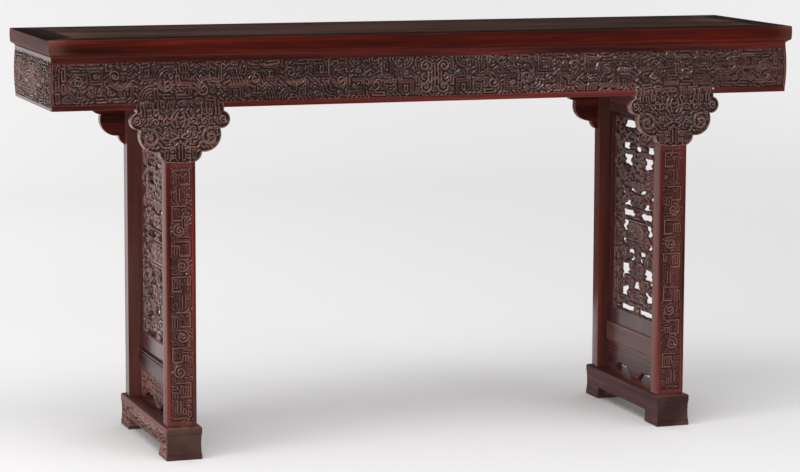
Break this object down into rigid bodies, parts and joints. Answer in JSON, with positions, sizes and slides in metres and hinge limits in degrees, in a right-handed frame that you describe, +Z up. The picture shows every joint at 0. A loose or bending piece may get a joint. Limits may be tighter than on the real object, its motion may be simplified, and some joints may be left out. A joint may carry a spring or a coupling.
{
  "type": "altar table",
  "caption": "Long flat-topped altar table in dark rosewood, with carved aprons, cloud-shaped spandrel heads, pierced end panels and carved runners.",
  "frame": {"origin": "on the floor, under the centre of the table", "axes": "+Z up, +X along the length to the right end, -Y towards the front"},
  "size_m": [1.7, 0.418, 0.9],
  "materials": {
    "rosewood_frame": "satin",
    "rosewood_top_board": "satin",
    "rosewood_carved": "satin",
    "rosewood_runner": "satin",
    "rosewood_batten": "matte"
  },
  "bodies": {
    "root": {"back_apron": "rosewood_carved", "back_left_leg": "rosewood_carved", "back_left_spandrel_head": "rosewood_carved", "back_right_leg": "rosewood_carved", "back_right_spandrel_head": "rosewood_carved", "front_apron": "rosewood_carved", "front_left_leg": "rosewood_carved", "front_left_spandrel_head": "rosewood_carved", "front_right_leg": "rosewood_carved", "front_right_spandrel_head": "rosewood_carved", "left_end_apron": "rosewood_carved", "left_lower_panel": "rosewood_carved", "left_mid_stretcher": "rosewood_frame", "left_openwork_back_board": "rosewood_carved", "left_openwork_front_board": "rosewood_carved", "left_runner": "rosewood_runner", "left_top_stretcher": "rosewood_frame", "right_end_apron": "rosewood_carved", "right_lower_panel": "rosewood_carved", "right_mid_stretcher": "rosewood_frame", "right_openwork_back_board": "rosewood_carved", "right_openwork_front_board": "rosewood_carved", "right_runner": "rosewood_runner", "right_top_stretcher": "rosewood_frame", "top_back_rail": "rosewood_frame", "top_batten_1": "rosewood_batten", "top_batten_2": "rosewood_batten", "top_batten_3": "rosewood_batten", "top_batten_4": "rosewood_batten", "top_batten_5": "rosewood_batten", "top_front_rail": "rosewood_frame", "top_left_end_rail": "rosewood_frame", "top_panel_back_board": "rosewood_top_board", "top_panel_front_board": "rosewood_top_board", "top_right_end_rail": "rosewood_frame"}
  },
  "joints": []
}
